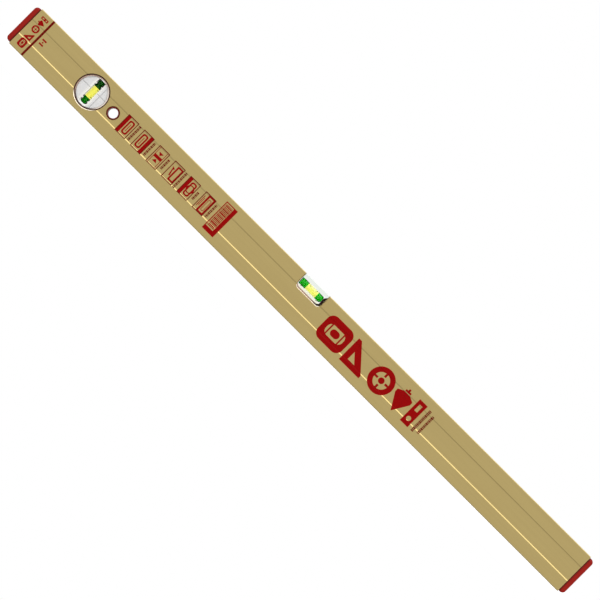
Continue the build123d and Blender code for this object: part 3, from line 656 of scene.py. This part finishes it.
def build_vial(vial, bubble, mark_nodes, plug_green, round_green, liquid):
    """Every piece of one vial, in place of its CAD nodes."""
    prefix = vial.prefix
    turned = (
        ("vial_tube", tube_outline(), "vial_acrylic", "clear_acrylic"),
        ("vial_plug", plug_outline(), "vial_acrylic", "clear_acrylic"),
        ("plug_collar", plug_collar_outline(), plug_green, "green_plastic"),
        ("round_collar", round_collar_outline(), round_green, "green_plastic"),
        ("liquid", liquid_outline(), liquid, "yellow_liquid"),
    )
    for part, outline, material, slot in turned:
        mesh = lathe(f"{prefix}_{part}_turned", vial, outline)
        finish_piece(f"{prefix}_{part}_turned", mesh, material, BODY, [f"{prefix}_{part}"])
    for mark_node, at in zip(mark_nodes, (-MARK_AT, MARK_AT)):
        mesh = lathe(f"{mark_node}_line", vial, mark_outline(at), MARK_SWEEP_DEG, TURNS // 3)
        finish_piece(f"{mark_node}_line", mesh, "mark_black", BODY, [mark_node])
    at = (middle(f"{prefix}_bubble") - vial.origin).dot(vial.along)
    body = f"{prefix}_bubble_body"
    finish_piece(f"{prefix}_bubble_air", bubble(vial, at), "air", body, [f"{prefix}_bubble"], 180.0)


level_vial = Vial("level", (1, 0, 0), (0, 0, 1))
plumb_vial = Vial("plumb", (0, 0, -1), (1, 0, 0))
level_marks = ("level_mark_left", "level_mark_right")
plumb_marks = ("plumb_mark_upper", "plumb_mark_lower")
build_vial(level_vial, long_bubble, level_marks, "green", "green", "pale_liquid")
# The plumb vial's collars take the painted-shade copies of the green
build_vial(plumb_vial, short_bubble, plumb_marks, "green_painted_deep_shade", "green_painted_shade", "liquid")


# ---------------------------------------------------------------- print on the front face
# The front face steps in over its middle band; (Z, Y) of the four edges of that step.
FACE_STEPS = ((13.9, -10.0), (15.0, -9.4), (33.4, -9.4), (34.5, -10.0))
INK_PROUD = 0.015
INK_SUNK = 0.01
INK_LAYER = 0.002
INK_LAYERS = 5
CUT_MERGE = 1e-5  # points nearer than this to a cut or to each other count as one


def face_y(z):
    """Y of the front face at a height."""
    if z <= FACE_STEPS[0][0]:
        return FACE_STEPS[0][1]
    for (z0, y0), (z1, y1) in zip(FACE_STEPS, FACE_STEPS[1:]):
        if z <= z1:
            return y0 + (y1 - y0) * (z - z0) / (z1 - z0)
    return FACE_STEPS[-1][1]


def rect(x0, z0, x1, z1):
    return [(x0, z0), (x1, z0), (x1, z1), (x0, z1)]


def rounded(x0, z0, x1, z1, radius):
    """A rectangle with round corners."""
    left, right, low, high = x0 + radius, x1 - radius, z0 + radius, z1 - radius
    corners = ((right, low, -90), (right, high, 0), (left, high, 90), (left, low, 180))
    return [point for x, z, start in corners for point in arc((x, z), radius, start, start + 90, 8)]


def ring(x, z, radius, steps=56):
    return arc((x, z), radius, 0, 360 - 360 / steps, steps - 1)


def framed(x0, z0, x1, z1, line):
    """The outline of a rectangle, drawn with a line of a given width."""
    return [rect(x0, z0, x1, z1), rect(x0 + line, z0 + line, x1 - line, z1 - line)]


def turned_left(loops, x, z):
    """Loops drawn about the origin, turned a quarter turn and moved to x, z."""
    return [[(x - up, z + across) for across, up in loop] for loop in loops]


def moved(loops, x, z, scale=1.0):
    return [[(x + across * scale, z + up * scale) for across, up in loop] for loop in loops]


def print_piece(name, shapes, colour="red_ink", first_layer=0):
    """Ink on the front face: each shape is an outline and its holes, as loops of (x, z)."""
    flat = bmesh.new()
    for number, loops in enumerate(shapes):
        # Shapes that cross differ a little in thickness, so that no two faces coincide
        layer = (number + first_layer) % INK_LAYERS * INK_LAYER
        corners = [flat.verts.new((x, layer, z)) for loop in loops for x, z in loop]
        for triangle in tessellate_polygon([[Vector((x, z, 0.0)) for x, z in loop] for loop in loops]):
            flat.faces.new([corners[i] for i in triangle])
    for z, _ in FACE_STEPS:
        everything = flat.verts[:] + flat.edges[:] + flat.faces[:]
        place, upward = (0, 0, z), (0, 0, 1)
        bmesh.ops.bisect_plane(flat, geom=everything, dist=CUT_MERGE, plane_co=place, plane_no=upward)
    bmesh.ops.dissolve_degenerate(flat, dist=CUT_MERGE, edges=flat.edges[:])
    flat.verts.index_update()
    count = len(flat.verts)
    # While flat, a point's Y holds its layer
    points = [(v.co.x, face_y(v.co.z) - INK_PROUD - v.co.y, v.co.z) for v in flat.verts]
    points += [(v.co.x, face_y(v.co.z) + INK_SUNK + v.co.y, v.co.z) for v in flat.verts]
    faces = []
    for face in flat.faces:
        corners = [vertex.index for vertex in face.verts]
        faces.append(corners)
        faces.append([i + count for i in reversed(corners)])
    for edge in flat.edges:
        if len(edge.link_faces) == 1:
            start, end = (vertex.index for vertex in edge.verts)
            faces.append([start, end, end + count, start + count])
    flat.free()
    finish_piece(name, mesh_from(name, points, faces), colour, BODY, smooth_deg=1.0)


LEFT_END = box_mm("end_cap_left")[0].x

# Band across the profile beside the left cap
BAND_X = (LEFT_END + 22.8, LEFT_END + 25.2)
BAND_Z = (0.35, PROFILE_HIGH.z - 0.35)
print_piece("print_end_band", [[rect(BAND_X[0], BAND_Z[0], BAND_X[1], BAND_Z[1])]], "dark_ink")

# Signs of measuring tools in one row about a common middle, each as shapes about its own middle
SIGN_HALF = 14.7  # half the height of a sign


def capsule_sign():
    """A vial lying level with its bubble between two lines."""
    body = [rounded(-17, -SIGN_HALF, 17, SIGN_HALF, 8.0), rounded(-11.5, -6.6, 11.5, 6.6, 5.5)]
    bubble = [rounded(-5.4, -4.0, 5.4, 4.0, 3.9)]
    return [body, bubble, [rect(-8.9, -6.65, -7.3, 6.65)], [rect(7.3, -6.65, 8.9, 6.65)]]


def square_sign():
    """A set square with its inner opening."""
    outer = [(-13.5, -SIGN_HALF), (14.5, -SIGN_HALF), (14.5, -11.5), (-9.5, SIGN_HALF), (-13.5, SIGN_HALF)]
    inner = [(-7.0, -8.4), (2.2, -8.4), (-7.0, 1.6)]
    return [[outer, inner]]


def target_sign():
    """A ring with a centre spot and four ticks."""
    near, far, half = 5.0, 9.2, 1.2  # of a tick, from the middle outward and to each side
    ticks = [
        [rect(near, -half, far, half)],
        [rect(-half, near, half, far)],
        [rect(-far, -half, -near, half)],
        [rect(-half, -far, half, -near)],
    ]
    return [[ring(0, 0, SIGN_HALF), ring(0, 0, 9.0)], [ring(0, 0, 3.4)], *ticks]


def bob_sign():
    """A plumb bob with its collar."""
    bob = [(-10.4, 2.6), (-10.4, 6.4), (-4.4, 9.4), (4.4, 9.4), (10.4, 6.4), (10.4, 2.6), (0, -SIGN_HALF)]
    return [[bob], [rect(-3.6, 10.2, 3.6, 12.4)], [rect(-1.2, 12.4, 1.2, SIGN_HALF)]]


def bar_sign():
    """A box level standing upright, with an upright window and a round one."""
    return [[rect(-5.4, -SIGN_HALF, 5.4, SIGN_HALF), rect(-1.9, 2.6, 1.9, 10.6), ring(0, -7.4, 2.6, 32)]]


SIGN_ROW = (
    ("capsule", capsule_sign(), -50.5),
    ("square", square_sign(), -16.6),
    ("target", target_sign(), 16.2),
    ("bob", bob_sign(), 44.0),
    ("bar", bar_sign(), 62.8),
)
LARGE_X, LARGE_Z = LEFT_END + 500.2, 24.5  # middle of the large row, right of the level vial
SMALL_X, SMALL_Z = LEFT_END + 15.7, 24.3  # middle of the small row, turned, beside the left cap
SMALL_SCALE = 0.287
for sign_name, sign, at in SIGN_ROW:
    print_piece(f"print_large_{sign_name}", [moved(shape, LARGE_X + at, LARGE_Z) for shape in sign])
    small = [moved(shape, at * SMALL_SCALE, 0, SMALL_SCALE) for shape in sign]
    print_piece(f"print_small_{sign_name}", [turned_left(shape, SMALL_X, SMALL_Z) for shape in small])

# A small double bar between the band and the window
PAIR_X = LEFT_END + 27.8
double_bar = [[rect(PAIR_X, z, PAIR_X + 5.4, z + 1.7)] for z in (20.9, 26.1)]
print_piece("print_double_bar", double_bar + [[rect(PAIR_X + 1.9, 23.6, PAIR_X + 3.5, 25.1)]])


# Six boxed signs that show the ways to hold the level
BOX_PITCH = 22.18
BOX_WIDTH = 14.4
BOX_LOW, BOX_HIGH = 13.6, 35.4
BOX_FIRST = LEFT_END + 144.0
BOX_BAR = 4.3  # width of the solid bar along one side of a box


def round_frame(x0, z0, x1, z1, line, radius=2.4):
    """The outline of a rectangle with round corners, drawn with a line of a given width."""
    inner = rounded(x0 + line, z0 + line, x1 - line, z1 - line, radius - 0.6 * line)
    return [rounded(x0, z0, x1, z1, radius), inner]


def boxed_signs():
    """Shapes of each boxed sign, from its lower left corner; the first shape is the box itself."""
    height = BOX_HIGH - BOX_LOW
    mid = height / 2
    box = framed(0, 0, BOX_WIDTH, height, 0.9)
    bar_left = [rect(0, 0, BOX_BAR, height)]
    bar_right = [rect(BOX_WIDTH - BOX_BAR, 0, BOX_WIDTH, height)]
    arrow_down = [(4.2, mid + 5.7), (7.15, mid + 2.2), (10.1, mid + 5.7)]
    arrow_up = [(4.2, mid - 5.7), (10.1, mid - 5.7), (7.15, mid - 2.2)]
    hook = [(2.2, 16.0), (5.6, 14.8), (5.6, 13.4), (4.5, 13.6), (6.3, 6.2), (4.7, 6.0), (3.2, 14.0)]
    return (
        [
            box,
            bar_left,
            round_frame(5.4, 2.8, 12.2, height - 2.8, 1.7),
            [rect(8.5, 6.4, 9.2, height - 6.4)],
        ],
        [
            box,
            bar_right,
            round_frame(2.3, 2.8, 9.2, height - 2.8, 1.7),
            [rect(5.4, 6.4, 6.1, height - 6.4)],
        ],
        [
            box,
            [rect(2.0, 0.7, 2.6, height - 0.7)],
            [rect(11.7, 0.7, 12.3, height - 0.7)],
            [rect(2.6, mid - 1.7, 11.7, mid + 1.7)],
            [arrow_down],
            [arrow_up],
        ],
        [
            box,
            framed(6.6, 2.2, BOX_WIDTH - 0.3, height - 2.2, 1.8),
            [hook],
        ],
        [
            box,
            bar_left,
            round_frame(5.3, 2.8, 12.4, height - 2.8, 1.6),
            [ring(8.85, mid, 4.6, 40), ring(8.85, mid, 3.4, 40)],
        ],
        [
            box,
            framed(5.0, 0.2, BOX_WIDTH - 0.2, height - 0.2, 2.1),
            round_frame(7.9, 4.0, 11.5, height - 4.0, 0.6, 1.4),
            [rect(1.8, 4.0, 2.6, height - 4.0)],
            [rect(3.3, 6.0, 3.9, height - 6.0)],
        ],
    )


def bars(x, width, z0, z1, heights, gaps):
    """A column of plain bars; their heights and the gaps after them each go round in turn."""
    shapes, z = [], z0
    for height, gap in zip(cycle(heights), cycle(gaps)):
        if z + height > z1:
            return shapes
        shapes.append([rect(x, z, x + width, z + height)])
        z += height + gap


# A column of fine bars stands right of each box, from one height to another
COLUMN_SPANS = ((15.6, 34.4), (16.0, 34.4), (18.5, 31.0), (13.9, 34.6), (19.3, 28.7), (15.9, 33.0))
COLUMN_AWAY, COLUMN_WIDTH = 1.6, 2.7
for i, (shapes, (low, high)) in enumerate(zip(boxed_signs(), COLUMN_SPANS)):
    box_x = BOX_FIRST + i * BOX_PITCH
    column_x = box_x + BOX_WIDTH + COLUMN_AWAY
    column = bars(column_x, COLUMN_WIDTH, low, high, (0.9, 1.3, 0.7, 1.5), (0.5,))
    box, *inside = [moved(shape, box_x, BOX_LOW) for shape in shapes]
    print_piece(f"print_box_{i + 1}", inside)
    print_piece(f"print_box_lines_{i + 1}", [box] + column, "dark_ink", INK_LAYERS - 1)

# A panel with a foot, a bar down its right side and fine bars
PANEL_X, PANEL_Z = LEFT_END + 276.9, 6.3
PANEL_WIDTH, PANEL_HEIGHT = 15.3, 36.7
panel = [framed(0, 0, PANEL_WIDTH, PANEL_HEIGHT, 1.1)]
panel.append([rect(0.5, 0.5, PANEL_WIDTH - 0.5, 4.7)])
panel.append([rect(PANEL_WIDTH - 4.5, 4.5, PANEL_WIDTH - 0.5, PANEL_HEIGHT - 0.5)])
panel_bars = (0.8, 1.2, 0.7, 1.6, 0.8, 0.8, 1.3, 0.7)
panel += bars(1.7, PANEL_WIDTH - 6.6, 6.0, PANEL_HEIGHT - 1.4, panel_bars, (0.5, 0.7, 0.45))
print_piece("print_bar_panel", [moved(shape, PANEL_X, PANEL_Z) for shape in panel])

# Two columns of fine bars right of the large signs
FINE_X = LEFT_END + 572.3
fine_columns = bars(FINE_X, 3.2, 10.2, 38.9, (1.3, 1.0, 1.7, 0.9, 1.2), (0.45,))
fine_columns += bars(FINE_X + 6.3, 2.9, 12.7, 36.4, (1.0, 1.5, 1.1, 1.8), (0.5,))
print_piece("print_fine_columns", fine_columns, "dark_ink")


# ---------------------------------------------------------------- floor, light and camera, in metres
FLOOR_HALF = 2.2
FLOOR_Z = -0.0002  # just under the level, so that no two faces coincide


def floor():
    """A broad pale floor, which reflections don't see."""
    mesh = bpy.data.meshes.new("floor")
    built = bmesh.new()
    bmesh.ops.create_grid(built, x_segments=8, y_segments=8, size=FLOOR_HALF)
    for vertex in built.verts:
        vertex.co.z = FLOOR_Z
    built.to_mesh(mesh)
    built.free()
    material, shader = new_material("floor_pale", Roughness=0.9, Specular_IOR_Level=0.1)
    speckle = noise(material, (60, 60, 60), 3.0)
    pale = ramp(material, speckle, (0.93, 0.93, 0.93), (0.96, 0.96, 0.96))
    link(material, pale, shader.inputs["Base Color"])
    mesh.materials.append(material)
    made = bpy.data.objects.new("floor", mesh)
    made.visible_glossy = False
    bpy.context.scene.collection.objects.link(made)


def softbox(place, target, size, power):
    """A rectangular area light of so many watts, aimed at a point."""
    light = bpy.data.lights.new("softbox_over", "AREA")
    light.shape = "RECTANGLE"
    light.size, light.size_y = size
    light.energy = power
    lamp = bpy.data.objects.new("softbox_over", light)
    lamp.location = place
    lamp.rotation_mode = "QUATERNION"
    lamp.rotation_quaternion = (Vector(target) - Vector(place)).to_track_quat("-Z", "Y")
    lamp.visible_camera = False
    bpy.context.scene.collection.objects.link(lamp)


floor()
softbox(place=(0.0, -0.64, 1.42), target=(0.0, 0.0, 0.02), size=(3.0, 1.3), power=16.0)

# What reflections see, by the height of the direction they look in, from -1 straight down to 1 straight up
GLOW_HEIGHTS = (-0.7, 0.0)
GLOW = (0.56, 0.76)
EXTRA_HEIGHTS = (0.1, 0.8)
EXTRA_GLOW = (0.0, 0.3)


def slope(world, height, heights, values):
    """Runs from one value to the other between two heights."""
    inputs = {"Value": height, "From Min": heights[0], "From Max": heights[1]}
    inputs.update({"To Min": values[0], "To Max": values[1]})
    return node(world, "MapRange", inputs).outputs["Result"]


def studio():
    """White surroundings; mirror reflections see them brighter overhead and dimmer below the horizon."""
    world = bpy.data.worlds.new("studio")
    world.use_nodes = True
    world.cycles.sampling_method = "NONE"
    direction = node(world, "TexCoord").outputs["Generated"]
    height = node(world, "SeparateXYZ", {"Vector": direction}).outputs["Z"]
    glow = slope(world, height, GLOW_HEIGHTS, GLOW)
    extra = slope(world, height, EXTRA_HEIGHTS, EXTRA_GLOW)
    seen = node(world, "Math", {0: glow, 1: extra}, operation="ADD").outputs[0]
    ray = node(world, "LightPath").outputs
    mirrored = both(world, ray["Is Reflection Ray"], ray["Is Glossy Ray"])
    inputs = {"Factor": mirrored, "A": 1.0, "B": seen}
    strength = node(world, "Mix", inputs, data_type="FLOAT").outputs["Result"]
    background = world.node_tree.nodes["Background"]
    background.inputs["Color"].default_value = (1.0, 1.0, 1.0, 1.0)
    link(world, strength, background.inputs["Strength"])
    bpy.context.scene.world = world


studio()
bpy.context.scene.view_settings.view_transform = "Standard"
# Light crosses more than a dozen surfaces inside a vial
LIGHT_BOUNCES = 32
bpy.context.scene.cycles.max_bounces = LIGHT_BOUNCES
bpy.context.scene.cycles.transmission_bounces = LIGHT_BOUNCES

# The camera is rolled, so that the level runs from the upper left to the lower right corner of the frame
LENS = 280.0
SENSOR = 36.0
FRAME_WIDTH = 0.6093  # seen across the frame at the front face
ROLL = math.radians(44.97)
camera_data = bpy.data.cameras.new("camera")
camera_data.lens = LENS
camera_data.sensor_width = SENSOR
camera_data.clip_start = 0.1
camera_data.clip_end = 60.0
camera = bpy.data.objects.new("camera", camera_data)
distance = FRAME_WIDTH * LENS / SENSOR
right = Vector((math.cos(ROLL), 0.0, math.sin(ROLL)))
upward = Vector((-math.sin(ROLL), 0.0, math.cos(ROLL)))
back = right.cross(upward)
turn = Matrix((right, upward, back)).transposed().to_4x4()
eye = Vector((0.0, cad_low.y - distance, (cad_low.z + cad_high.z) / 2))
camera.matrix_world = Matrix.Translation(eye) @ turn
bpy.context.scene.collection.objects.link(camera)
bpy.context.scene.camera = camera
